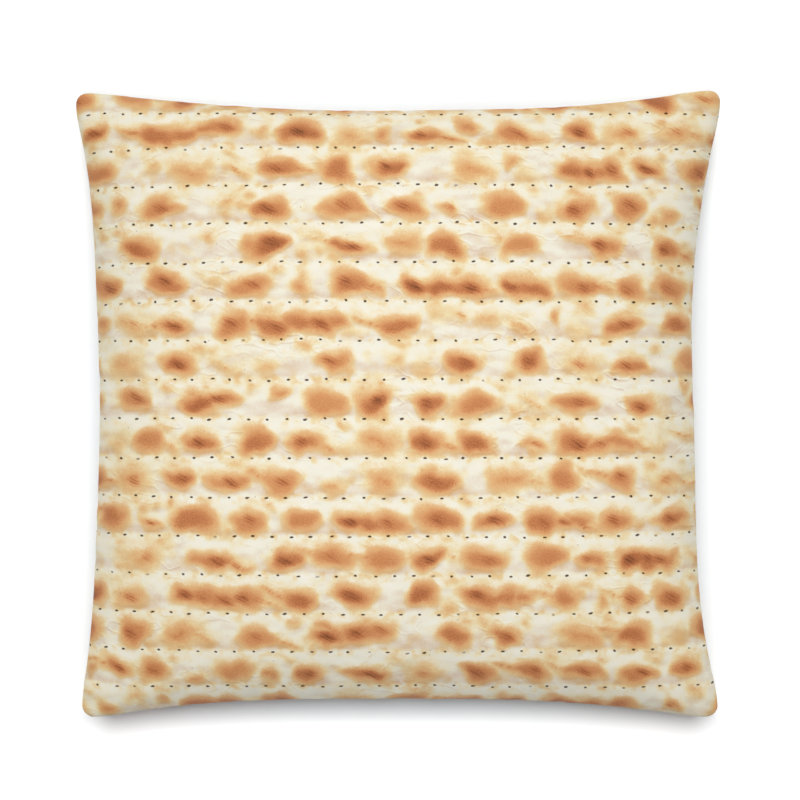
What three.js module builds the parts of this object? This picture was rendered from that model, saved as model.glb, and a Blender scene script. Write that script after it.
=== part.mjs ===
// A square throw cushion: two panels of printed cloth, sewn together all round and stuffed.
// It lies flat with its front up. Millimetres, +Z up, +Y towards the top of the print,
// with the origin in the middle of the flat that it rests on.
import * as THREE from "three";

// Driving dimensions
const spanAcross = 455;       // corner tip to corner tip along X, before the tips are rounded
const spanUp = 442;           // corner tip to corner tip along Y, before the tips are rounded
const bowLeft = 16;           // how far the left seam bows in at its middle
const bowRight = 19;
const bowTop = 12.5;
const bowBottom = 14;
const bowShapeUp = 2.4;       // power of the left and right bows: 2 is a parabola, more is flatter
const bowShapeAcross = 2.2;   // power of the top and bottom bows
const tipRounding = 8;        // how far from its tip a corner begins to round
const crown = 61;             // rise of a panel above the seam, at its middle
const crownShape = 2.4;       // power of the crown: 2 is a dome, more is flatter with steeper sides
const crownEdge = 0.5;        // 0.5 lets a panel leave the seam upright, as stuffed cloth does
const restPress = 5;          // how much of the lower crown is pressed flat by the cushion's weight

// How finely the panels are faceted
const pointsPerSide = 22;
const pointsPerTip = 4;
const rings = 14;

const seamHeight = crown - restPress;
const halfAcross = spanAcross / 2;
const halfUp = spanUp / 2;

// A bow's depth at a place along its side, from -1 at one tip to 1 at the other
function bowAt(place, depth, shape) {
  return depth * (1 - Math.abs(place) ** shape);
}

// The four seams, anticlockwise from the lower left tip
const seams = [
  (place) => new THREE.Vector2(place * halfAcross, bowAt(place, bowBottom, bowShapeAcross) - halfUp),
  (place) => new THREE.Vector2(halfAcross - bowAt(place, bowRight, bowShapeUp), place * halfUp),
  (place) => new THREE.Vector2(-place * halfAcross, halfUp - bowAt(place, bowTop, bowShapeAcross)),
  (place) => new THREE.Vector2(bowAt(place, bowLeft, bowShapeUp) - halfAcross, -place * halfUp),
];

// The seam's outline: each point has its place in plan and how near it is to a tip, from 0 to 1
function seamOutline() {
  const outline = [];
  const lastPlace = 1 - tipRounding / Math.min(halfAcross, halfUp);
  seams.forEach((seam, side) => {
    for (let step = 0; step < pointsPerSide; step += 1) {
      const place = lastPlace * (2 * step / (pointsPerSide - 1) - 1);
      outline.push({ at: seam(place), nearTip: Math.abs(place) });
    }
    const nextSeam = seams[(side + 1) % seams.length];
    const tip = new THREE.QuadraticBezierCurve(seam(lastPlace), seam(1), nextSeam(-lastPlace));
    for (let step = 1; step <= pointsPerTip; step += 1) {
      outline.push({ at: tip.getPoint(step / (pointsPerTip + 1)), nearTip: 1 });
    }
  });
  return outline;
}

// The crown's rise over the seam, at a share of the way from the middle out to an outline point
function riseAt(share, nearTip) {
  const outwards = 1 - share ** crownShape;
  const sideways = 1 - (share * nearTip) ** crownShape;
  return crown * Math.max(outwards * sideways, 0) ** crownEdge;
}

// Both panels as rings of points round the middle, closed by a fan at each crown
function cushionGeometry() {
  const outline = seamOutline();
  const count = outline.length;
  const positions = [];
  const triangles = [];

  function addRing(share, height) {
    const first = positions.length / 3;
    for (const { at, nearTip } of outline) {
      positions.push(at.x * share, at.y * share, height(riseAt(share, nearTip)));
    }
    return first;
  }

  function addMiddle(height) {
    positions.push(0, 0, height(crown));
    return positions.length / 3 - 1;
  }

  function joinRings(inner, outer, faceUp) {
    for (let i = 0; i < count; i += 1) {
      const next = (i + 1) % count;
      const quad = [inner + i, outer + i, outer + next, inner + next];
      if (!faceUp) quad.reverse();
      triangles.push(quad[0], quad[1], quad[2], quad[0], quad[2], quad[3]);
    }
  }

  function joinMiddle(middle, ring, faceUp) {
    for (let i = 0; i < count; i += 1) {
      const next = (i + 1) % count;
      triangles.push(middle, ring + (faceUp ? i : next), ring + (faceUp ? next : i));
    }
  }

  const seamRing = addRing(1, () => 0);
  const upper = (rise) => rise;
  const lower = (rise) => Math.max(-rise, -seamHeight);
  for (const [height, faceUp] of [[upper, true], [lower, false]]) {
    let outer = seamRing;
    for (let ring = rings - 1; ring > 0; ring -= 1) {
      const inner = addRing(Math.sin((Math.PI / 2) * (ring / rings)), height);
      joinRings(inner, outer, faceUp);
      outer = inner;
    }
    joinMiddle(addMiddle(height), outer, faceUp);
  }

  const geometry = new THREE.BufferGeometry();
  geometry.setAttribute("position", new THREE.Float32BufferAttribute(positions, 3));
  geometry.setIndex(triangles);
  geometry.computeVertexNormals();
  return geometry;
}

const printedCloth = new THREE.MeshStandardMaterial({ color: 0xf1e4c8, roughness: 0.9, metalness: 0 });

const cushion = new THREE.Mesh(cushionGeometry(), printedCloth);
cushion.name = "cushion";
cushion.position.z = seamHeight;

const part = new THREE.Group();
part.name = "throw_cushion";
part.add(cushion);

export default part;
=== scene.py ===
import math
from collections import namedtuple
import bpy
import numpy as np
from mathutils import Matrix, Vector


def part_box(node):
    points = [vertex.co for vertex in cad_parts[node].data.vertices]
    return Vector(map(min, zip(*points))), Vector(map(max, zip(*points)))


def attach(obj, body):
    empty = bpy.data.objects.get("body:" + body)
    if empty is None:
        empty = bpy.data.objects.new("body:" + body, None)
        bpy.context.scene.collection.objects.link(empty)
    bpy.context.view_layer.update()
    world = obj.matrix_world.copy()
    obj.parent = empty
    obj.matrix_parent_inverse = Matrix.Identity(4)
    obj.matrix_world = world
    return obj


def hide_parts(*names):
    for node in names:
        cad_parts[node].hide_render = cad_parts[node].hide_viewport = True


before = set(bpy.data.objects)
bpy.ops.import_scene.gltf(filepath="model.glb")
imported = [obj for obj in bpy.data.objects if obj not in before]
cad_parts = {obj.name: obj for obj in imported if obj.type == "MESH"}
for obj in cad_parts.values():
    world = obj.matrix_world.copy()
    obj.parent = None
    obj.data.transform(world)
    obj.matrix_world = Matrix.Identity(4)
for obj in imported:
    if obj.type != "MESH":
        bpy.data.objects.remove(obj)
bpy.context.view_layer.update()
bpy.ops.object.select_all(action="DESELECT")
mm = 0.001


def newMesh(name, points, faces):
    mesh = bpy.data.meshes.new(name)
    mesh.from_pydata(points.tolist(), [], faces)
    mesh.update()
    return mesh


def placed(name, data):
    made = bpy.data.objects.new(name, data)
    bpy.context.scene.collection.objects.link(made)
    return made


# the cover's form, in metres
lowCorner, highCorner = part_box("cushion")
cover = {
    # for each seam: how far its ends are from the middle, how deep it bows in, the power of
    # that curve, how far off its middle it is deepest, how much further its right or upper end
    # reaches, and its sway in millimetres, as one, two, three and more half waves
    "left": {"reach": 0.2286, "bow": 0.0173, "power": 3.1, "skew": -0.17, "slant": 0.0035,
             "sway": (-1.4, -0.2, 0.0, -0.3, -0.5)},
    "right": {"reach": 0.2305, "bow": 0.0221, "power": 2.7, "skew": -0.06, "slant": 0.0010,
              "sway": (-1.8, 0.1, -0.9, -1.1)},
    "top": {"reach": 0.2231, "bow": 0.0152, "power": 2.45, "skew": -0.10, "slant": 0.0016,
            "sway": (-1.3, 0.0, -0.2, 0.2)},
    "bottom": {"reach": 0.2227, "bow": 0.0160, "power": 2.75, "skew": 0.08, "slant": -0.0004,
               "sway": (-0.8, 0.3, -0.3)},
    "tipRounding": 0.010,
    "tipLevel": 0.14,          # share of a half side over which it levels off to its tip
    "restPress": 0.005,        # how much of the lower crown the floor presses flat
    "slack": 0.945,            # crown before stuffing, as a share of the stuffed one
    "shapeAcross": 2.6,        # power of the crown: 2 is a dome, more is flatter with steeper sides
    "shapeUp": 3.1,
    "crownEdge": 0.5,          # 0.5 lets the cloth leave the seam upright
    "cells": 96,               # cloth cells along a side while it is simulated
    "evenRounds": 8,           # rounds of making the cells equally long
}
cover["seamHeight"] = (highCorner.z - lowCorner.z - cover["restPress"]) / 2
cover["crown"] = (cover["seamHeight"] + cover["restPress"]) * cover["slack"]
cover["halfSide"] = cover["left"]["reach"]


def seamReach(side, place):
    # how far a seam is from the middle, at a place along it from -1 to 1
    seam, level = cover[side], cover["tipLevel"]
    over = np.clip(np.abs(place) - 1 + level, 0, None)
    place = np.sign(place) * (np.abs(place) - over ** 2 / (2 * level))
    waves = enumerate(seam["sway"], 1)
    swayed = sum(size * np.sin(half * math.pi * (place + 1) / 2) for half, size in waves)
    skewed = place + seam["skew"] * (1 - place * place)
    bowed = seam["bow"] * (1 - np.abs(skewed) ** seam["power"])
    return seam["reach"] + seam["slant"] * place - bowed + swayed * mm


def roundedTips(across, up):
    # in a small square at each tip, the corner of the pattern is pulled round to an arc
    share = cover["tipRounding"] / cover["halfSide"]
    a = (np.abs(across) - (1 - share)) / share
    b = (np.abs(up) - (1 - share)) / share
    tip = (a > 0) & (b > 0)
    a, b = a[tip], b[tip]
    across, up = across.copy(), up.copy()
    across[tip] = np.sign(across[tip]) * (1 - share + share * a * np.sqrt(1 - b * b / 2))
    up[tip] = np.sign(up[tip]) * (1 - share + share * b * np.sqrt(1 - a * a / 2))
    return across, up


def crownedPanel(across, up):
    # places on a panel, from -1 to 1 each way, to points above the seam's plane
    a, b = roundedTips(across, up)
    left, right = seamReach("left", up), seamReach("right", up)
    bottom, top = seamReach("bottom", across), seamReach("top", across)
    fall = (1 - np.abs(across) ** cover["shapeAcross"]) * (1 - np.abs(up) ** cover["shapeUp"])
    rise = cover["crown"] * np.clip(fall, 0, 1) ** cover["crownEdge"]
    x = (right - left + a * (right + left)) / 2
    y = (top - bottom + b * (top + bottom)) / 2
    return np.stack([x, y, rise], 2)


def evenly(places, points):
    # moves places along each line of the grid until its points are the same length of cloth apart
    steps = np.linalg.norm(np.diff(points, axis=0), axis=2)
    length = np.concatenate([np.zeros((1, steps.shape[1])), np.cumsum(steps, axis=0)])
    moved = places.copy()
    for line in range(places.shape[1]):
        even = np.linspace(0, length[-1, line], len(places))
        moved[:, line] = np.interp(even, length[:, line], places[:, line])
    return moved


def coverPattern():
    side = np.linspace(-1, 1, cover["cells"] + 1)
    across, up = np.meshgrid(side, side, indexing="ij")
    for _ in range(cover["evenRounds"]):
        across = evenly(across, crownedPanel(across, up))
        up = evenly(up.T, crownedPanel(across, up).transpose(1, 0, 2)).T
    return across, up


def quadsOf(numbers, faceUp):
    quads = np.stack([numbers[:-1, :-1], numbers[1:, :-1], numbers[1:, 1:], numbers[:-1, 1:]], 2)
    quads = quads.reshape(-1, 4)
    return quads if faceUp else quads[:, ::-1]


def sewnCover(across, up):
    # both panels as one closed mesh, sharing the points of the seam
    points = crownedPanel(across, up)
    count = points.shape[0]
    front = np.arange(count * count).reshape(count, count)
    inside = np.zeros((count, count), bool)
    inside[1:-1, 1:-1] = True
    back = front.copy()
    back[inside] = count * count + np.arange(inside.sum())
    under = (points * [1, 1, -1])[inside]
    everything = np.concatenate([points.reshape(-1, 3), under])
    faces = np.concatenate([quadsOf(front, True), quadsOf(back, False)])
    cloth = placed("cover", newMesh("cover", everything, faces.tolist()))
    seam = cloth.vertex_groups.new(name="seam")
    seam.add(front[~inside].tolist(), 1.0, "REPLACE")
    return cloth, front, back


stuffing = {
    "frames": 20,
    "pressure": 8.0,
    "spareCloth": 0.002,       # how much larger the cloth is than the form, as a share
    "quality": 6,
    "mass": 0.15,
    "stretch": 80,             # how hard the cloth is to stretch, to shear and to bend
    "shear": 20,
    "bending": 8.0,
    "damping": 15,
    "bendingDamping": 2,
    "airDamping": 3,
}


def stuff(cloth):
    # the filling pushes the sewn cover out while its seam stays on the outline
    bpy.context.view_layer.objects.active = cloth
    cloth.select_set(True)
    pushed = cloth.modifiers.new("stuffing", "CLOTH")
    settings = pushed.settings
    settings.vertex_group_mass = "seam"
    settings.pin_stiffness = 1.0
    settings.quality = stuffing["quality"]
    settings.mass = stuffing["mass"]
    settings.tension_stiffness = stuffing["stretch"]
    settings.compression_stiffness = stuffing["stretch"]
    settings.shear_stiffness = stuffing["shear"]
    settings.bending_stiffness = stuffing["bending"]
    settings.tension_damping = stuffing["damping"]
    settings.compression_damping = stuffing["damping"]
    settings.shear_damping = stuffing["damping"]
    settings.bending_damping = stuffing["bendingDamping"]
    settings.air_damping = stuffing["airDamping"]
    settings.use_pressure = True
    settings.uniform_pressure_force = stuffing["pressure"]
    settings.shrink_min = -stuffing["spareCloth"]
    settings.effector_weights.gravity = 0
    pushed.collision_settings.use_collision = False
    pushed.collision_settings.use_self_collision = False
    pushed.point_cache.frame_start = 1
    pushed.point_cache.frame_end = stuffing["frames"]
    for moment in range(1, stuffing["frames"] + 1):
        bpy.context.scene.frame_set(moment)
    bpy.ops.object.modifier_apply(modifier="stuffing")
    bpy.context.scene.frame_set(1)
    cloth.select_set(False)


acrossPattern, upPattern = coverPattern()
coverCloth, frontNumbers, backNumbers = sewnCover(acrossPattern, upPattern)
print("cover cut and sewn")
stuff(coverCloth)
print("cover stuffed")

coverPoints = np.array([v.co for v in coverCloth.data.vertices])
bpy.data.objects.remove(coverCloth)

# the printed bread, in millimetres and degrees
bread = {
    "across": 470.0,           # the sheet that the print is laid out on
    "up": 452.0,
    "holePitch": 13.0,         # along a row of pricked holes
    "rowPitch": 26.4,
    "firstRow": 24.1,          # below the top of the sheet
    "footGap": 1.2,            # between a blister and the row below it
    "middle": 0.54,            # where most blisters lie between two rows, from the upper one
    "start": (-10, 10),        # where the first blister of a row may be
    "past": 8,                 # how far past the sheet the last one may be
    # the kinds of blister, in half sizes. power: how pointed (1 is a diamond, 2 an ellipse).
    # drift: off the middle. streaked, pale: how often. share: of all blisters.
    "blisters": (
        {"width": (11.5, 16.5), "height": (8.2, 10.2), "tilt": (-14, 16), "drift": (-1.5, 3), "power": 2.25,
         "heat": (0.15, 1.0), "streaks": (0.4, 1.0), "streaked": 0.45, "pale": 0.18, "share": 0.44},
        {"width": (11.0, 16.5), "height": (6.0, 9.2), "tilt": (-16, 24), "drift": (-1.5, 3), "power": 1.85,
         "heat": (0.2, 0.7), "streaks": (0.6, 1.0), "streaked": 1.0, "pale": 0.10, "share": 0.26},
        # the first of a chain, and how many more it may have
        {"width": (11.0, 15.0), "height": (7.5, 9.6), "tilt": (-4, 14), "drift": (-1.5, 3), "power": 2.25,
         "heat": (0.45, 1.0), "streaks": (0.4, 1.0), "streaked": 0.6, "pale": 0.0, "share": 0.07,
         "links": (1, 4)},
        {"width": (4.0, 8.0), "height": (3.4, 6.5), "tilt": (-20, 20), "drift": (-7, 6), "power": 2.25,
         "heat": (0.0, 0.4), "streaks": (0.0, 0.1), "streaked": 0.0, "pale": 0.60, "share": 0.14},
        {"width": (7.5, 12.0), "height": (2.6, 4.4), "tilt": (18, 32), "drift": (-7, 6), "power": 2.25,
         "heat": (0.0, 0.3), "streaks": (0.4, 0.9), "streaked": 1.0, "pale": 0.40, "share": 0.09},
    ),
    "paleFirm": (0.28, 0.55),  # how firm the rim of a pale one is
    "narrowGaps": 0.7,         # share of the gaps between blisters that are narrow
    "gaps": ((2, 11), (11, 27)),
    # the further blisters of a chain
    "link": {"step": (0.9, 1.25), "width": (9, 15), "height": (5.5, 9), "drift": (-3, 3),
             "within": (0.4, 0.66), "tilt": (-4, 20), "power": 2.0, "streaks": (0.4, 1.0),
             "streaked": 0.6, "cooler": (0.6, 1.0)},
    # a thin tail at one end of a wide blister
    "tail": {"wide": 10, "share": 0.30, "toRight": 0.6, "width": (8, 15), "height": (2.4, 4.8),
             "drift": (1.5, 4.5), "footGap": 1.5, "tilt": (8, 26), "power": 1.7, "heat": 0.3,
             "streaks": 0.6, "firm": (0.4, 1)},
    # small pale bubbles beside a row of holes, more of them below it than above
    "bubble": {"pitch": 34.0, "width": (2.2, 4.6), "flat": (0.55, 0.8), "under": 0.6, "below": (2.5, 6.5),
               "above": (-6, -2.5), "tilt": (0, 35), "power": 2.0, "firm": (0.5, 0.8)},
    # how far the bread's skin is warped, and over what length
    "warpAcross": ((3.2, 13), (1.6, 6)),
    "warpDown": ((2.0, 12), (1.2, 6)),
    "unevenRim": ((0.3, 5.5), (0.25, 2.8)),
    "merge": 0.6,              # mm that two blisters add to each other where they are as deep
    "mergeWithin": 2.4,
    "swell": 1.6,              # how softly a blister rises at its rim
}
Blister = namedtuple("Blister", "x y w h tilt power heat streaks firm")


def soften(low, high, value):
    share = np.clip((value - low) / (high - low), 0, 1)
    return share * share * (3 - 2 * share)


def lumps(x, y, size, chance):
    # smooth random lumps from -1 to 1, about size across
    table = chance.uniform(-1, 1, (int(bread["across"] / size) + 8, int(bread["up"] / size) + 10))
    a, b = x / size + 2, y / size + 2
    i = np.clip(np.floor(a).astype(int), 0, table.shape[0] - 2)
    j = np.clip(np.floor(b).astype(int), 0, table.shape[1] - 2)
    a, b = soften(0, 1, a - i), soften(0, 1, b - j)
    near = table[i, j] * (1 - a) + table[i + 1, j] * a
    far = table[i, j + 1] * (1 - a) + table[i + 1, j + 1] * a
    return near * (1 - b) + far * b


def lumpy(x, y, sizes, chance):
    return sum(height * lumps(x, y, size, chance) for height, size in sizes)


def sometimes(chance, share, often, otherwise):
    # a draw from one of two ranges, or from one range or none
    chosen = often if chance.uniform() < share else otherwise
    return chance.uniform(*chosen) if isinstance(chosen, tuple) else chosen


def tailOf(blister, floor, chance):
    tail = bread["tail"]
    side = 1 if chance.uniform() < tail["toRight"] else -1
    w, h = chance.uniform(*tail["width"]), chance.uniform(*tail["height"])
    x = blister.x + side * (blister.w * 0.75 + w * 0.45)
    y = min(blister.y + side * chance.uniform(*tail["drift"]), floor - h - tail["footGap"])
    tilt = chance.uniform(*tail["tilt"])
    streaks = blister.streaks * tail["streaks"] if side > 0 else 0
    firm = min(blister.firm, chance.uniform(*tail["firm"]))
    return Blister(x, y, w, h, tilt, tail["power"], blister.heat * tail["heat"], streaks, firm)


def layRow(top, chance):
    laid = []
    floor = top + bread["rowPitch"] - bread["footGap"]
    link, tail, bubble = bread["link"], bread["tail"], bread["bubble"]
    shares = [kind["share"] for kind in bread["blisters"]]

    def lay(blister):
        # a blister stays above the next row of holes, also where it leans
        lean = math.radians(abs(blister.tilt))
        lowest = floor - blister.h * math.cos(lean) - blister.w * 0.35 * math.sin(lean)
        blister = blister._replace(y=min(blister.y, lowest))
        laid.append(blister)
        if blister.w > tail["wide"] and chance.uniform() < tail["share"]:
            laid.append(tailOf(blister, floor, chance))

    x = chance.uniform(*bread["start"])
    while x < bread["across"] + bread["past"]:
        kind = bread["blisters"][chance.choice(len(shares), p=shares)]
        w, h, heat = [chance.uniform(*kind[size]) for size in ("width", "height", "heat")]
        streaks = sometimes(chance, kind["streaked"], kind["streaks"], 0)
        firm = sometimes(chance, kind["pale"], bread["paleFirm"], 1)
        x += w
        y = top + bread["rowPitch"] * bread["middle"] + chance.uniform(*kind["drift"])
        lay(Blister(x, y, w, h, chance.uniform(*kind["tilt"]), kind["power"], heat * firm, streaks, firm))
        for _ in range(chance.randint(*kind["links"]) if "links" in kind else 0):
            x += w * chance.uniform(*link["step"])
            w, h = chance.uniform(*link["width"]), chance.uniform(*link["height"])
            low, high = [top + bread["rowPitch"] * share for share in link["within"]]
            y = np.clip(y + chance.uniform(*link["drift"]), low, high)
            streaks = sometimes(chance, link["streaked"], link["streaks"], 0)
            heat *= chance.uniform(*link["cooler"])
            lay(Blister(x, y, w, h, chance.uniform(*link["tilt"]), link["power"], heat, streaks, firm))
        x += w + sometimes(chance, bread["narrowGaps"], *bread["gaps"])

    for _ in range(int(bread["across"] / bubble["pitch"])):
        w = chance.uniform(*bubble["width"])
        y = top + sometimes(chance, bubble["under"], bubble["below"], bubble["above"])
        x, h = chance.uniform(0, bread["across"]), w * chance.uniform(*bubble["flat"])
        tilt, firm = chance.uniform(*bubble["tilt"]), chance.uniform(*bubble["firm"])
        laid.append(Blister(x, y, w, h, tilt, bubble["power"], 0, 0, firm))
    return laid


def layBlisters(chance):
    laid = []
    for row in range(-1, int(bread["up"] / bread["rowPitch"]) + 1):
        laid += layRow(bread["firstRow"] + row * bread["rowPitch"], chance)
    return laid


def turned(x, y, degrees):
    c, s = math.cos(math.radians(degrees)), math.sin(math.radians(degrees))
    return x * c + y * s, y * c - x * s


def depthIn(blister, a, b, luck):
    # millimetres in from a blister's rim, for places on its own axes: one end of it is slimmer
    # than the other, it bends a little, and it is fuller below than above
    end = np.clip(a / blister.w, -1.2, 1.2)
    bend = (luck[1] - 0.5) * 0.4 * blister.h * (2 * end * end - 0.6)
    b = b / (1 + 0.6 * (luck[0] - 0.5) * end) + bend
    below = np.clip(b / blister.h, -1, 1)
    a, b = np.abs(a / blister.w) + 1e-6, np.abs(b / blister.h) + 1e-6
    out = (a ** blister.power + b ** blister.power) ** (1 / blister.power)
    steep = np.hypot(a / blister.w, b / blister.h) / np.maximum(np.hypot(a, b), 0.05)
    depth = (1 - out) / np.maximum(steep, 1 / blister.w) * (1 + 0.25 * below)
    return depth * blister.firm - 1.6 * (1 - blister.firm)


def hotIn(blister, a, b, luck):
    # how dark its middle is, a little off its centre
    away = np.hypot(a / blister.w - 0.4 * (luck[2] - 0.5), b / blister.h - 0.2)
    return blister.heat * (1 - soften(0.2, 1.1, away))


def streakIn(blister, right, down, luck):
    # a slanting lens of dark smears, with its own place, tilt and size
    right = right - (luck[3] - 0.5) * 0.5 * blister.w
    down = down - (luck[4] - 0.4) * 0.4 * blister.h
    a, b = turned(right, down, 20 + 14 * luck[5])
    lens = np.hypot(a / (0.40 * blister.w + 3.5 * luck[6]), b / (0.26 * blister.h + 0.8 + 1.2 * luck[7]))
    return (1 - soften(0.15, 1.15, lens)) * blister.streaks


def bakeBread(x, y, seed):
    # inside: millimetres in from a blister's rim. core: how dark its middle is.
    # streak: where dark smears lie. slope: how steeply a blister rises downwards.
    chance = np.random.RandomState(seed)
    warpedX = x + lumpy(x, y, bread["warpAcross"], chance)
    warpedY = y + lumpy(x, y, bread["warpDown"], chance)
    inside, core, streak = np.full_like(x, -9.0), np.zeros_like(x), np.zeros_like(x)
    for blister in layBlisters(chance):
        luck = chance.uniform(0, 1, 8)
        right, down = warpedX - blister.x, warpedY - blister.y
        near = (np.abs(right) < blister.w * 1.6 + 8) & (np.abs(down) < blister.h + blister.w * 0.5 + 8)
        if not near.any():
            continue
        a, b = turned(right[near], down[near], blister.tilt)
        depth, before = depthIn(blister, a, b, luck), inside[near]
        joined = bread["merge"] * np.clip(1 - np.abs(before - depth) / bread["mergeWithin"], 0, 1) ** 2
        inside[near] = np.maximum(before, depth) + joined * blister.firm
        core[near] = (core[near] ** 3 + hotIn(blister, a, b, luck) ** 3) ** (1 / 3)
        if blister.streaks > 0:
            smeared = streakIn(blister, x[near] - blister.x, y[near] - blister.y, luck)
            streak[near] = np.maximum(streak[near], smeared)
    inside += lumpy(x, y, bread["unevenRim"], chance)
    height = 1 / (1 + np.exp(-inside / bread["swell"]))
    slope = np.gradient(height, axis=1) / np.gradient(y, axis=1)
    return {"inside": inside, "core": core, "streak": streak, "slope": slope}


# the two panels
panel = {
    "cells": 292,              # cells along a side of a finished panel
    "seamSteps": (0.45, 0.5, 0.6, 0.8, 1.0, 1.25),   # finer cells beside the seam, in mm
    "groove": 0.5 * mm,        # how deep the seam pulls in
    "grooveWidth": 2.0 * mm,
    "puckers": 0.7 * mm,       # small waves beside the seam
    "puckerWaves": 5,
    "puckerLengths": (14 * mm, 34 * mm),
    "puckerReach": 8 * mm,
    "floorSoftness": 1.2 * mm,  # how gently the cloth meets the floor
    "pull": 0.62,              # least share of its own length that the print covers on a steep side
    "lip": 8 * mm,             # the turned-in seam allowance
    "lipGap": 0.4 * mm,
    "smoothAngle": 50,         # degrees, past which an edge stays sharp
    "frontSeed": 7,
    "backSeed": 23,
    "puckerSeed": 100,         # added to a panel's own
    "fill": 0.7,
}

# the baked map, from 0 to 1: the cloth lies above two thin strips for the hidden closing faces
bakedMap = {
    "left": 0.003,
    "wide": 0.994,
    "foot": 0.035,
    "tall": 0.962,
    "closingStrip": (0.003, 0.014),
    "fanStrip": (0.018, 0.030),
}


def panelPlaces(length):
    # places across a panel from 0 to 1, finer beside the seams
    steps = np.array(panel["seamSteps"]) * mm / length
    inner = 1 - 2 * steps.sum()
    middle = panel["cells"] - 2 * len(steps)
    widths = np.concatenate([steps, np.full(middle, inner / middle), steps[::-1]])
    return np.concatenate([[0], np.cumsum(widths)]).clip(0, 1)


def smoothly(grid, places):
    # a curve through the rows of grid, read at places from 0 to 1
    last = len(grid) - 1
    at = places * last
    i = np.clip(np.floor(at).astype(int), 0, last - 1)
    t = (at - i).reshape(-1, *([1] * (grid.ndim - 1)))
    p, q = grid[i], grid[i + 1]
    before = np.where((i > 0).reshape(t.shape), grid[np.maximum(i - 1, 0)], 2 * p - q)
    after = np.where((i < last - 1).reshape(t.shape), grid[np.minimum(i + 2, last)], 2 * q - p)
    cubic = 3 * (p - q) + after - before
    square = 2 * before - 5 * p + 4 * q - after
    return p + 0.5 * t * (q - before + t * (square + t * cubic))


def refined(grid, acrossPlaces, upPlaces):
    half = smoothly(grid, acrossPlaces)
    return smoothly(half.swapaxes(0, 1), upPlaces).swapaxes(0, 1)


def clothLength(points, axis):
    return np.linalg.norm(np.diff(points, axis=axis), axis=2).sum(axis=axis).max()


def pressed(points):
    # the floor stops the lower panel, with a soft edge to the flat
    above = points[..., 2] + cover["seamHeight"]
    held = panel["floorSoftness"] * np.logaddexp(0, above / panel["floorSoftness"])
    points[..., 2] = held - cover["seamHeight"]


def drawnAtSeam(points, places, lengths):
    # the seam line sits in a shallow groove
    acrossPlaces, upPlaces = places
    nearSide = np.minimum(acrossPlaces, 1 - acrossPlaces)[:, None] * lengths[0]
    nearEnd = np.minimum(upPlaces, 1 - upPlaces)[None, :] * lengths[1]
    sideIn = np.exp(-(nearSide / panel["grooveWidth"]) ** 2) * panel["groove"]
    endIn = np.exp(-(nearEnd / panel["grooveWidth"]) ** 2) * panel["groove"]
    points[..., 0] -= np.where(acrossPlaces[:, None] < 0.5, -1, 1) * sideIn
    points[..., 1] -= np.where(upPlaces[None, :] < 0.5, -1, 1) * endIn


def puckered(points, places, lengths, chance):
    # the thread draws the cloth into small waves that die out a little way in from the seam
    def waves(along):
        total = np.zeros_like(along)
        for _ in range(panel["puckerWaves"]):
            length = chance.uniform(*panel["puckerLengths"])
            total += np.sin(2 * math.pi * (along / length + chance.uniform())) / 3
        return total

    def fade(away):
        share = away / panel["puckerReach"]
        return share * np.exp(1 - share)

    for axis in (0, 1):
        along = places[1 - axis] * lengths[1 - axis]
        for away in (places[axis] * lengths[axis], (1 - places[axis]) * lengths[axis]):
            lift = fade(away)[:, None] * waves(along)[None, :] * panel["puckers"]
            points[..., 2] += lift if axis == 0 else lift.T


def laidOut(points, axis):
    # the print lies flat over the form, and is pulled down its steep sides no more than it must be
    points = points.swapaxes(0, axis)
    steps = np.diff(points, axis=0)
    drawn = np.maximum(steps[..., axis], panel["pull"] * np.linalg.norm(steps, axis=2))
    places = np.concatenate([np.zeros((1, drawn.shape[1])), np.cumsum(drawn, axis=0)])
    middle = len(places) // 2
    places += points[middle, :, axis] - places[middle]
    return places.swapaxes(0, axis)


def shapedPanel(numbers, faceUp, seed):
    # the stuffed cloth in fine cells, without and with what its seam and the floor do to it
    grid = coverPoints[numbers]
    lengths = clothLength(grid, 0), clothLength(grid, 1)
    places = panelPlaces(lengths[0]), panelPlaces(lengths[1])
    smooth = refined(grid, *places)
    points = smooth.copy()
    puckered(points, places, lengths, np.random.RandomState(seed + panel["puckerSeed"]))
    if not faceUp:
        pressed(points)
    drawnAtSeam(points, places, lengths)
    return smooth, points, places, lengths


def ringOf(numbers):
    # the border of a grid of numbers, once round
    return np.concatenate([numbers[:, 0], numbers[-1, 1:], numbers[-2::-1, -1], numbers[0, -2:0:-1]])


def closedPanel(name, points, faceUp):
    # the cloth, its turned-in seam allowance and the hidden faces that close it
    count = len(points)
    order = np.arange(count * count).reshape(count, count)
    ring = ringOf(order)
    lipShare = 1 - panel["lip"] / cover["halfSide"]
    inwards = panel["lipGap"] if faceUp else -panel["lipGap"]
    shown = points.reshape(-1, 3)
    lip = shown[ring] * [lipShare, lipShare, 0] + [0, 0, inwards]
    everything = np.concatenate([shown, lip, [[0, 0, inwards]]])
    everything[:, 2] += cover["seamHeight"]
    lipOrder = count * count + np.arange(len(ring))
    centre = np.full(len(ring), count * count + len(ring))
    closing = np.stack([ring, np.roll(ring, -1), np.roll(lipOrder, -1), lipOrder], 1)
    fan = np.stack([lipOrder, np.roll(lipOrder, -1), centre], 1)
    if faceUp:
        closing, fan = closing[:, ::-1], fan[:, ::-1]
    quads = quadsOf(order, faceUp)
    mesh = newMesh(name, everything, quads.tolist() + closing.tolist() + fan.tolist())
    mesh.polygons.foreach_set("material_index", [0] * len(quads) + [1] * (2 * len(ring)))
    return mesh, quads.ravel(), len(ring)


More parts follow.
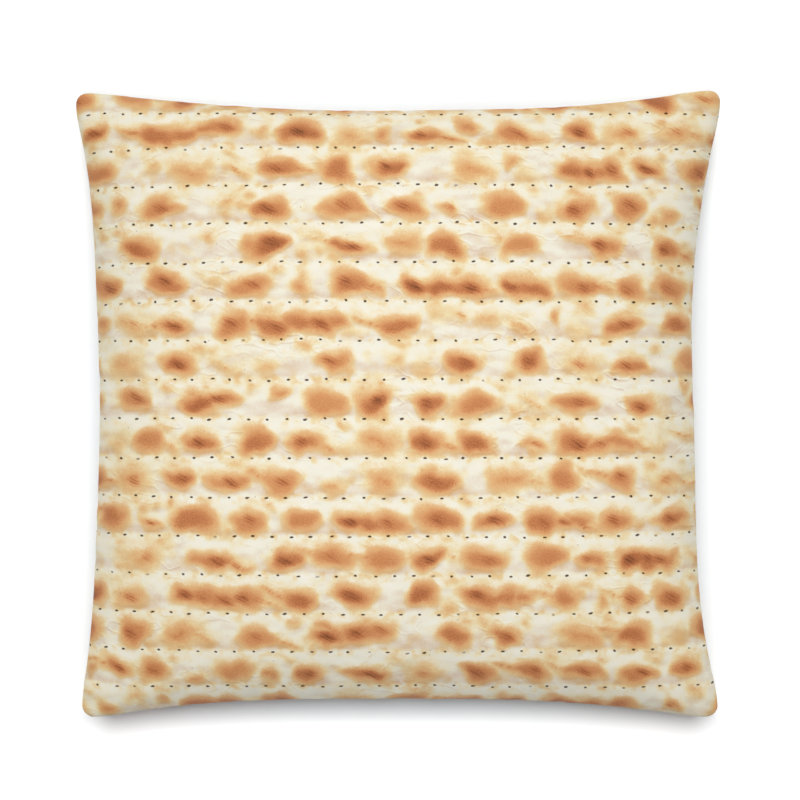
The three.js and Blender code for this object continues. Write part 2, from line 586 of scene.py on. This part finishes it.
def hiddenPlaces(count, faceUp):
    # where the hidden closing faces lie on the baked map
    left = np.arange(count) / count
    right = left + 1 / count

    def corner(u, v):
        return np.stack([u, np.full(count, v)], 1)

    low, high = bakedMap["closingStrip"]
    rim = [corner(left, low), corner(right, low), corner(right, high), corner(left, high)]
    low, high = bakedMap["fanStrip"]
    leaves = [corner(left, low), corner(right, low), corner((left + right) / 2, high)]
    closing, fan = np.stack(rim, 1), np.stack(leaves, 1)
    if faceUp:
        closing, fan = closing[:, ::-1], fan[:, ::-1]
    return np.concatenate([closing.reshape(-1, 2), fan.reshape(-1, 2)])


def addMaps(mesh, maps, corners, hidden):
    for mapName, (u, v) in maps.items():
        layer = mesh.uv_layers.new(name=mapName)
        shown = np.stack([u.ravel(), v.ravel()], 1)[corners]
        rest = hidden if mapName == "OFBake" else np.full_like(hidden, 0.5)
        layer.uv.foreach_set("vector", np.concatenate([shown, rest]).astype(np.float32).ravel())
    mesh.uv_layers.active = mesh.uv_layers["cloth"]


def addFields(mesh, fields):
    for fieldName, values in fields.items():
        field = mesh.attributes.new(fieldName, "FLOAT", "POINT")
        spare = np.zeros(len(mesh.vertices) - values.size)
        field.data.foreach_set("value", np.append(values.ravel(), spare).astype(np.float32))


def makePanel(name, numbers, faceUp, seed):
    smooth, points, places, lengths = shapedPanel(numbers, faceUp, seed)
    mesh, corners, ringCount = closedPanel(name, points, faceUp)

    # where each point lies on the cloth, on the print and on the baked map
    across, up = np.meshgrid(*places, indexing="ij")
    side = across if faceUp else 1 - across
    printAcross = laidOut(smooth, 0) * (1 if faceUp else -1) / (bread["across"] * mm) + 0.5
    printUp = laidOut(smooth, 1) / (bread["up"] * mm) + 0.5
    maps = {
        "cloth": (side, up),
        "print": (printAcross, printUp),
        "OFBake": (bakedMap["left"] + bakedMap["wide"] * side, bakedMap["foot"] + bakedMap["tall"] * up),
    }
    addMaps(mesh, maps, corners, hiddenPlaces(ringCount, faceUp))
    addFields(mesh, bakeBread(printAcross * bread["across"], (1 - printUp) * bread["up"], seed))

    made = placed(name, mesh)
    made.select_set(True)
    bpy.context.view_layer.objects.active = made
    bpy.ops.object.shade_smooth_by_angle(angle=math.radians(panel["smoothAngle"]))
    made.select_set(False)
    print(name, "made,", len(mesh.polygons), "faces")
    return made, lengths


def shade(text):
    # a colour written as six letters and digits, as the shaders take it
    parts = [int(text[i:i + 2], 16) / 255 for i in (0, 2, 4)]
    return [p / 12.92 if p <= 0.04045 else ((p + 0.055) / 1.055) ** 2.4 for p in parts] + [1.0]


class Value:
    # a number, place or colour that varies over a surface: sums with it add the nodes for them
    def __init__(self, nodes, socket):
        self.nodes = nodes
        self.socket = socket

    def __add__(self, other):
        return self.nodes.math("ADD", self, other)

    def __sub__(self, other):
        return self.nodes.math("SUBTRACT", self, other)

    def __rsub__(self, other):
        return self.nodes.math("SUBTRACT", other, self)

    def __mul__(self, other):
        return self.nodes.math("MULTIPLY", self, other)

    def __truediv__(self, other):
        return self.nodes.math("DIVIDE", self, other)

    def __abs__(self):
        return self.nodes.math("ABSOLUTE", self)


class Nodes:
    def __init__(self, owner):
        owner.use_nodes = True
        self.tree = owner.node_tree
        self.tree.nodes.clear()

    def add(self, kind, **settings):
        node = self.tree.nodes.new(kind)
        for key, value in settings.items():
            setattr(node, key, value)
        return node

    def feed(self, socket, value):
        if isinstance(value, Value):
            self.tree.links.new(value.socket, socket)
        else:
            socket.default_value = value

    def made(self, kind, inputs, *outputs, **settings):
        # adds a node, feeds its inputs, and gives its first output or those that are named
        node = self.add(kind, **settings)
        for key, value in inputs.items():
            self.feed(node.inputs[key], value)
        values = [Value(self, node.outputs[key]) for key in outputs or (0,)]
        return values if len(values) > 1 else values[0]

    def show(self, shader, kind="Material"):
        self.feed(self.add("ShaderNodeOutput" + kind).inputs[0], shader)

    def math(self, operation, *values, clamp=False):
        return self.made("ShaderNodeMath", dict(enumerate(values)), operation=operation, use_clamp=clamp)

    def vector(self, operation, *values, output="Vector"):
        return self.made("ShaderNodeVectorMath", dict(enumerate(values)), output, operation=operation)

    def spread(self, value, low, high, toLow=0.0, toHigh=1.0, smooth=True):
        kind = "SMOOTHSTEP" if smooth else "LINEAR"
        inputs = dict(enumerate((value, low, high, toLow, toHigh)))
        return self.made("ShaderNodeMapRange", inputs, interpolation_type=kind)

    def noise(self, place, scale, detail=2.0, roughness=0.5):
        inputs = {"Vector": place, "Scale": scale, "Detail": detail, "Roughness": roughness}
        return self.made("ShaderNodeTexNoise", inputs, "Fac")

    def uneven(self, place, scale, amount, **grain):
        # noise about nothing
        return (self.noise(place, scale, **grain) - 0.5) * amount

    def patches(self, place, scale, low, high, least=0.0, most=1.0, **grain):
        return self.spread(self.noise(place, scale, **grain), low, high, least, most)

    def attribute(self, name):
        return self.made("ShaderNodeAttribute", {}, "Fac", attribute_name=name)

    def places(self, mapName, wide, tall):
        # millimetres across and up from a UV map's corner
        uv = self.made("ShaderNodeUVMap", {}, uv_map=mapName)
        return self.vector("MULTIPLY", uv, (wide, tall, 0.0))

    def apart(self, vector):
        return self.made("ShaderNodeSeparateXYZ", {0: vector}, 0, 1, 2)

    def together(self, x, y, z=0.0):
        return self.made("ShaderNodeCombineXYZ", {0: x, 1: y, 2: z})

    def mix(self, share, a, b, blend="MIX"):
        inputs = {"Factor": share, 6: a, 7: b}
        return self.made("ShaderNodeMix", inputs, 2, data_type="RGBA", blend_type=blend)

    def ramp(self, value, stops):
        # stops are pairs of a value and the colour there
        top = stops[-1][0]
        node = self.add("ShaderNodeValToRGB")
        self.feed(node.inputs[0], value / top)
        elements = node.color_ramp.elements
        while len(elements) < len(stops):
            elements.new(1.0)
        for element, (amount, colour) in zip(elements, stops):
            element.position = amount / top
            element.color = shade(colour)
        return Value(self, node.outputs[0])


# the rows of pricked holes
pricks = {
    "wander": {"scale": 0.03, "amount": 3.5, "detail": 1.0},   # of a row, up and down
    "aside": 1.8,              # mm that a hole may be out of its place along the row
    "astray": 0.8,             # and across it
    "tilt": 0.3,
    "halfWidth": (0.85, 0.55),     # at least, and how much more
    "halfHeight": (0.55, 0.25),
    "ragged": {"scale": 1.0, "amount": 1.1},
    "rim": (0.7, 1.4),         # where a hole's ink thins out, from its middle
    "ink": (0.5, 0.95),        # of the faint ones and of the others
    "faint": 0.15,
}


def rowsOfHoles(n, x, down):
    # how many rows lie above a place, which row is nearest, and how far below it the place is
    wander = n.uneven(n.together(x, down), **pricks["wander"])
    rows = (down + wander - bread["firstRow"]) / bread["rowPitch"]
    row = n.math("ROUND", rows)
    return rows, row, (rows - row) * bread["rowPitch"]


def prickedHoles(n, flat, x, row, below):
    # small dark holes, each a little out of place and of its own size
    shift = n.made("ShaderNodeTexWhiteNoise", {"W": row}, "Value", noise_dimensions="1D")
    columns = x / bread["holePitch"] + shift
    column = n.math("ROUND", columns)
    own = {"Vector": n.together(column, row)}
    luck = n.apart(n.made("ShaderNodeTexWhiteNoise", own, "Color", noise_dimensions="2D"))
    aside = (columns - column) * bread["holePitch"] + (luck[0] - 0.5) * pricks["aside"]
    below = below + (luck[1] - 0.5) * pricks["astray"] + aside * ((luck[2] - 0.5) * pricks["tilt"])
    least, more = pricks["halfWidth"]
    wide = luck[2] * more + least
    least, more = pricks["halfHeight"]
    tall = luck[0] * more + least
    away = n.vector("LENGTH", n.together(aside / wide, below / tall), output="Value")
    inside = n.spread(away + n.uneven(flat, **pricks["ragged"]), *pricks["rim"], 1.0, 0.0)
    return inside * n.spread(luck[1], 0.0, pricks["faint"], *pricks["ink"])


# dark smears across the blisters
smear = {
    "angle": 27.0,             # degrees down to the right
    "pitch": 2.6,              # mm between its lines
    "stretch": (0.11, 0.2),    # of the noise that makes the lines wander
    "wander": {"scale": 1.0, "amount": 12.0, "detail": 1.0},
    "blots": {"scale": 0.25, "amount": 0.5, "detail": 3.0, "roughness": 0.6},
    "flatBlots": 2.0,
    "lines": (-0.9, 1.0),
    "dark": 0.15,              # between the lines, and how much more on them
    "darkLines": 0.20,
}


def smears(n, x, down):
    angle = math.radians(smear["angle"])
    along = x * math.cos(angle) + down * math.sin(angle)
    over = down * math.cos(angle) - x * math.sin(angle)
    stretched = n.together(along * smear["stretch"][0], over * smear["stretch"][1])
    turn = over * (2 * math.pi / smear["pitch"]) + n.uneven(stretched, **smear["wander"])
    lines = n.spread(n.math("SINE", turn), *smear["lines"]) * smear["darkLines"] + smear["dark"]
    blots = n.uneven(n.together(along, over * smear["flatBlots"]), **smear["blots"])
    return n.attribute("streak") * (blots + 1.0) * lines


# how brown the bread is, from 0 to about 1.15
toasting = {
    "grown": 0.8,              # mm that the brown spreads past a blister's rim
    "ragged": {"scale": 0.45, "amount": 1.8},
    "hazeRagged": {"scale": 0.12, "amount": 9.0, "detail": 1.0},
    # how far in from the rim a layer begins and is whole, and how brown it is
    "haze": (-5.0, 0.5, 0.0, 0.08),
    "rim": (-2.4, 2.6),
    "rimBrown": 0.25,
    # the body and the core: the same, then how brown at least, and how much more where it is hot
    "layers": ((0.0, 6.5, 0.14, 0.06), (1.0, 8.5, 0.04, 0.22)),
    "uneven": {"scale": 0.9, "amount": 0.42, "detail": 3.0, "roughness": 0.6},
    "grains": {"scale": 1.0, "low": 0.52, "high": 0.72, "most": 0.20, "roughness": 0.6},
    "grainsFrom": (1.0, 7.0),
    "coolGrains": 0.25,
    "stains": {"scale": 0.08, "low": 0.52, "high": 0.70, "most": 0.09},
    "rowStains": {"scale": 0.16, "low": 0.45, "high": 0.68, "most": 0.15, "detail": 1.0},
    "rowReach": (0.5, 5.0),    # mm from a row of holes
    "smearsFrom": (-2.0, 1.0),
}


def browning(n, flat, x, down, below):
    # from the rim inwards: a yellow haze, a soft rim, a light body and a darker core
    inside, core = n.attribute("inside"), n.attribute("core")
    ragged = inside + toasting["grown"] + n.uneven(flat, **toasting["ragged"])
    haze = inside + n.uneven(flat, **toasting["hazeRagged"])
    rim = n.spread(ragged, *toasting["rim"])
    toast = n.spread(haze, *toasting["haze"]) + rim * toasting["rimBrown"]
    for start, whole, brown, hotter in toasting["layers"]:
        toast = toast + n.spread(ragged, start, whole) * (core * hotter + brown)
    toast = toast * (n.uneven(flat, **toasting["uneven"]) + 1.0)
    grainy = n.spread(ragged, *toasting["grainsFrom"])
    grainy = n.math("MULTIPLY", grainy, core + toasting["coolGrains"], clamp=True)
    toast = toast + n.patches(flat, **toasting["grains"]) * grainy

    # faint stains on the bare bread, most of them beside the rows of holes
    nearRow = n.spread(abs(below), *toasting["rowReach"], 1.0, 0.0)
    stains = n.patches(flat, **toasting["stains"]) + nearRow * n.patches(flat, **toasting["rowStains"])
    return toast + stains * (1.0 - rim) + smears(n, x, down) * n.spread(inside, *toasting["smearsFrom"])


# the bread's own light and shade
skin = {
    "stretch": 0.5,            # the shade's patches are longer than they are high
    "broad": {"scale": 0.075, "amount": 0.80, "detail": 1.0},
    "fine": {"scale": 0.2, "amount": 0.25, "detail": 1.0},
    "dusk": (0.15, 1.0),       # where a roll's shade begins and is whole, from one row to the next
    "foot": (0.86, 0.99),      # where it stops above the next row
    "footWaves": 0.5,
    "dusky": 0.50,             # how strong the shade is, and how much that varies
    "duskyPatches": {"scale": 0.04, "amount": 2.6},
    "duskOnBrown": 0.25,
    "lit": (0.05, 0.5),        # the light at the head of a roll
    "rollLight": 0.12,
    "creaseShape": (0.55, 0.16),   # stretch across, and how far they run down to the right
    "creaseNoise": {"scale": 0.085, "detail": 1.5},
    "creaseWidth": 0.05,
    "creaseReach": 0.55,       # mm over which a crease's slope is measured
    "creases": 0.38,
    "wrinkled": {"scale": 0.03, "low": 0.46, "high": 0.68, "least": 0.05},   # where the creases are
    "lumpStretch": 0.7,
    "lumpNoise": {"scale": 0.085, "detail": 1.0},
    "lumpReach": 1.6,
    "lumps": 1.3,
    "swelling": 2.2,           # how strongly the blisters' own rise shades
    "reliefOnBrown": 0.35,
    "mottle": {"scale": 0.5, "amount": 0.7, "detail": 4.0, "roughness": 0.7},
    "speckScale": 0.16,
    "speckShare": 0.30,
    "speckRim": (0.03, 0.09),
    "speckDark": 0.55,
}


def fallOf(n, x, down, reach, height):
    # how far the bread's skin falls away downwards
    above, below = [height(n, x, down + shift) for shift in (-reach, reach)]
    return above - below


def lumpHeight(n, x, down):
    return n.noise(n.together(x * skin["lumpStretch"], down), **skin["lumpNoise"])


def creaseHeight(n, x, down):
    # thin wandering ridges, a little down to the right
    stretch, run = skin["creaseShape"]
    height = n.noise(n.together(x * stretch, down - x * run), **skin["creaseNoise"])
    return n.spread(abs(height - 0.5), 0.0, skin["creaseWidth"], 1.0, 0.0)


def duskAndLight(n, flat, x, down, rows, bare):
    # each band between two rows of holes is a low roll, dusky below and light above, and all
    # over it are lumps and wrinkles: above nothing is shade and below nothing is light
    band = n.math("FRACT", rows)
    wide = n.together(x * skin["stretch"], down)
    broad, fine = n.uneven(wide, **skin["broad"]), n.uneven(wide, **skin["fine"])
    foot = n.spread(band + fine * skin["footWaves"], *skin["foot"], 1.0, 0.0)
    dusky = n.math("ADD", n.uneven(flat, **skin["duskyPatches"]), skin["dusky"], clamp=True)
    roll = n.spread(band + (broad + fine), *skin["dusk"]) * foot * dusky
    roll = roll * (bare * (1 - skin["duskOnBrown"]) + skin["duskOnBrown"])
    creases = fallOf(n, x, down, skin["creaseReach"], creaseHeight) * skin["creases"]
    raised = fallOf(n, x, down, skin["lumpReach"], lumpHeight) * skin["lumps"]
    relief = creases * n.patches(flat, **skin["wrinkled"]) + raised
    relief = (relief - n.attribute("slope") * skin["swelling"]) * (bare + skin["reliefOnBrown"])
    lit = n.spread(band, *skin["lit"], skin["rollLight"], 0.0)
    return roll + relief + n.uneven(flat, **skin["mottle"]) - lit


def specks(n, flat):
    inputs = {"Vector": flat, "Scale": skin["speckScale"]}
    chance, away = n.made("ShaderNodeTexVoronoi", inputs, "Color", "Distance", feature="F1")
    rare = n.math("LESS_THAN", n.apart(chance)[0], skin["speckShare"])
    return n.spread(away, *skin["speckRim"], skin["speckDark"], 0.0) * rare


# cloth and print
look = {
    "crumb": "F8F3E1",         # untoasted bread
    "dusk": "E2C8AE",          # its own shade
    "light": "FFFBEF",
    "holes": "462802",
    "specks": "8A6238",
    # how brown, and the colour there
    "browning": ((0.0, "F8F3E1"), (0.08, "F8ECCA"), (0.17, "F5E0B0"), (0.28, "F1CF98"), (0.40, "EAB880"),
                 (0.52, "E0A06A"), (0.64, "D18A58"), (0.78, "BC7347"), (0.92, "A2603B"), (1.15, "744528")),
    "bare": (0.12, 0.42),      # how brown the bread is where it stops being bare
    "wrongSide": "F2EFE6",
    "roughness": 0.86,
    "sheen": 0.05,
    "sheenRoughness": 0.5,
    "specular": 0.25,
}

weave = {
    "pitch": 0.95,             # mm between yarns
    "sway": {"scale": 0.25, "amount": 1.2},
    "yarns": 0.35,             # height of the yarns, against that of their slubs
    "slubs": 0.8,
    "slubNoise": 1.1,
    "slubStretch": 0.12,
    "heights": (0.2, 1.4),
    "printShade": 0.965,       # painted shade in the weave's hollows: how light they stay on the printed side
    "wrongSideShade": 0.9,
    "bump": 0.35,
    "depth": 0.12 * mm,
}


def printedColour(n):
    x, up, _ = n.apart(n.places("print", bread["across"], bread["up"]))
    down = bread["up"] - up
    flat = n.together(x, down)
    rows, row, below = rowsOfHoles(n, x, down)
    toast = browning(n, flat, x, down, below)
    bare = n.spread(toast, *look["bare"], 1.0, 0.0)
    dark = duskAndLight(n, flat, x, down, rows, bare)
    tint = [min(d / c, 1.0) for d, c in zip(shade(look["dusk"]), shade(look["crumb"]))]
    colour = n.mix(n.math("ADD", dark, 0.0, clamp=True), n.ramp(toast, look["browning"]), tint, "MULTIPLY")
    pale = n.math("MULTIPLY", n.math("SUBTRACT", 0.0, dark, clamp=True), bare, clamp=True)
    colour = n.mix(pale, colour, shade(look["light"]))
    colour = n.mix(specks(n, flat), colour, shade(look["specks"]))
    return n.mix(prickedHoles(n, flat, x, row, below), colour, shade(look["holes"]))


def weaveHeight(n, lengths):
    # plain weave: yarns over and under each other, a little uneven
    x, y, _ = n.apart(n.places("cloth", lengths[0] / mm, lengths[1] / mm))
    sway = n.noise(n.together(x, y), weave["sway"]["scale"]) * weave["sway"]["amount"]
    turn = math.pi / weave["pitch"]
    yarns = n.math("SINE", (x + sway) * turn) * n.math("SINE", (y + sway) * turn)
    warpSlubs = n.noise(n.together(x * weave["slubStretch"], y), weave["slubNoise"])
    weftSlubs = n.noise(n.together(x, y * weave["slubStretch"]), weave["slubNoise"])
    return yarns * weave["yarns"] + (warpSlubs + weftSlubs) * weave["slubs"]


def clothMaterial(name, lengths, printed):
    material = bpy.data.materials.new(name)
    n = Nodes(material)
    height = weaveHeight(n, lengths)
    colour = printedColour(n) if printed else shade(look["wrongSide"])[:3]
    paintedHollowShade = weave["printShade"] if printed else weave["wrongSideShade"]
    # painted shade: the colour is darker where the weave is low, in its hollows
    paintedWeaveShade = n.spread(height, *weave["heights"], paintedHollowShade, 1.0, smooth=False)
    bump = {"Strength": weave["bump"], "Distance": weave["depth"], "Height": height}
    n.show(n.made("ShaderNodeBsdfPrincipled", {
        "Base Color": n.vector("MULTIPLY", colour, n.together(paintedWeaveShade, paintedWeaveShade, paintedWeaveShade)),
        "Roughness": look["roughness"],
        "Sheen Weight": look["sheen"],
        "Sheen Roughness": look["sheenRoughness"],
        "Specular IOR Level": look["specular"],
        "Normal": n.made("ShaderNodeBump", bump),
    }))
    return material


for panelName, numbers, faceUp, seed in (
        ("front_panel", frontNumbers, True, panel["frontSeed"]),
        ("back_panel", backNumbers, False, panel["backSeed"])):
    made, lengths = makePanel(panelName, numbers, faceUp, seed)
    made.data.materials.append(clothMaterial(panelName + "_print", lengths, True))
    made.data.materials.append(clothMaterial(panelName + "_wrong_side", lengths, False))
    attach(made, "root")
    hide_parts("cushion")

# floor, light and camera
studio = {
    "floorSize": 60.0,
    "floorWhite": (0.88, 0.94, 1.0),      # paper, a little cool against the warm cloth
    "paintedGlow": (0.37, 0.34, 0.33),           # light painted onto the paper round the cushion: it glows, though it is no lamp
    "glowFrom": 0.216,         # metres from the middle, to either side
    "glowTo": 0.245,
    # a shadow painted onto the paper beside the cushion's left and right seams, standing in for the room's
    # light that the cushion keeps off it
    "shadeShare": 0.10,
    "shadeFrom": 0.2175,       # metres from the middle
    "shadeBow": (0.0185, 2.7),    # how much further at the tips, and the power of that curve
    "shadeInner": (-0.008, -0.001),   # where it begins under the cushion
    "shadeTo": 0.017,
    "shadeEnds": (0.17, 0.22),
    "cameraHeight": 1.3,       # above the seam
    "frameWidth": 0.5616,      # what the camera takes in at the seam's height
    "sensorWidth": 36.0,
    "aimAcross": 0.0014,
    "aimUp": 0.0035,
    "keyStrength": 2.3,
    "keyColour": (1.0, 0.975, 0.915),
    "keyTilt": 18.0,           # degrees the key leans towards the top of the print
    "keyAside": 1.5,           # and towards its left
    "keySpread": 22.0,
    "poolPower": 16.3,         # a soft cool pool of light over the middle, in watts
    "poolColour": (1.0, 1.07, 1.24),
    "poolAngle": 39.0,
    "poolPlace": (0.0, 0.005, 1.35),
    "poolSoftness": 0.15,
    "sky": 0.03,
    "wallAway": 28.0,          # a white wall far off, only to be looked at
    "wallHeight": 9.0,
    "wallSides": 96,
}
white, black = (1, 1, 1, 1), (0, 0, 0, 1)


def paintedSeamShadow(n, x, y):
    # a shadow painted onto the paper beside the left and right seams: how dark it is, for distances from
    # the middle
    furthest, power = studio["shadeBow"]
    bow = n.math("POWER", y / studio["shadeEnds"][1], power) * furthest
    away = x - studio["shadeFrom"] - bow
    outer = n.spread(away, 0.0, studio["shadeTo"], studio["shadeShare"], 0.0, smooth=False)
    return n.spread(away, *studio["shadeInner"]) * outer * n.spread(y, *studio["shadeEnds"], 1.0, 0.0)


def makeFloor():
    bpy.ops.mesh.primitive_plane_add(size=studio["floorSize"], location=(0, 0, 0))
    floor = bpy.context.active_object
    floor.name = "floor"
    material = bpy.data.materials.new("floor_paper")
    n = Nodes(material)
    x, y, _ = n.apart(n.vector("ABSOLUTE", n.made("ShaderNodeTexCoord", {}, "Object")))
    # the paper's colour, with the painted shadow beside the side seams
    colour = n.mix(paintedSeamShadow(n, x, y), (*studio["floorWhite"], 1), black)
    # painted light: the paper glows from nothing at glowFrom to full at glowTo, so it reads white past the
    # cushion's shadow
    strength = n.spread(n.math("MAXIMUM", x, y), studio["glowFrom"], studio["glowTo"])
    paper = n.made("ShaderNodeBsdfDiffuse", {"Color": colour})
    paintedGlow = n.made("ShaderNodeEmission", {"Color": (*studio["paintedGlow"], 1), "Strength": strength})
    n.show(n.made("ShaderNodeAddShader", {0: paper, 1: paintedGlow}))
    floor.data.materials.append(material)
    floor.select_set(False)


def makeWall():
    high = studio["wallHeight"]
    bpy.ops.mesh.primitive_cylinder_add(vertices=studio["wallSides"], radius=studio["wallAway"], depth=high,
                                        location=(0, 0, high / 2), end_fill_type="NOTHING")
    wall = bpy.context.active_object
    wall.name = "wall"
    material = bpy.data.materials.new("wall_paper")
    n = Nodes(material)
    n.show(n.made("ShaderNodeEmission", {"Color": white, "Strength": 1.0}))
    wall.data.materials.append(material)
    for ray in ("diffuse", "glossy", "transmission", "shadow"):
        setattr(wall, "visible_" + ray, False)
    wall.select_set(False)


def makeLight():
    key = bpy.data.lights.new("key", "SUN")
    key.energy = studio["keyStrength"]
    key.color = studio["keyColour"]
    key.angle = math.radians(studio["keySpread"])
    leaning = (-math.radians(studio["keyTilt"]), -math.radians(studio["keyAside"]), 0)
    placed("key", key).rotation_euler = leaning
    pool = bpy.data.lights.new("pool", "SPOT")
    pool.energy = studio["poolPower"]
    pool.color = studio["poolColour"]
    pool.spot_size = math.radians(studio["poolAngle"])
    pool.spot_blend = 1.0
    pool.shadow_soft_size = studio["poolSoftness"]
    placed("pool", pool).location = studio["poolPlace"]
    world = bpy.data.worlds.new("studio")
    n = Nodes(world)
    n.show(n.made("ShaderNodeBackground", {"Color": white, "Strength": studio["sky"]}), "World")
    bpy.context.scene.world = world
    bpy.context.scene.view_settings.view_transform = "Standard"


def makeCamera():
    lens = bpy.data.cameras.new("camera")
    lens.sensor_width = studio["sensorWidth"]
    lens.lens = lens.sensor_width * studio["cameraHeight"] / studio["frameWidth"]
    camera = placed("camera", lens)
    camera.location = (studio["aimAcross"], studio["aimUp"], cover["seamHeight"] + studio["cameraHeight"])
    bpy.context.scene.camera = camera


makeFloor()
makeWall()
makeLight()
makeCamera()
print("studio set")
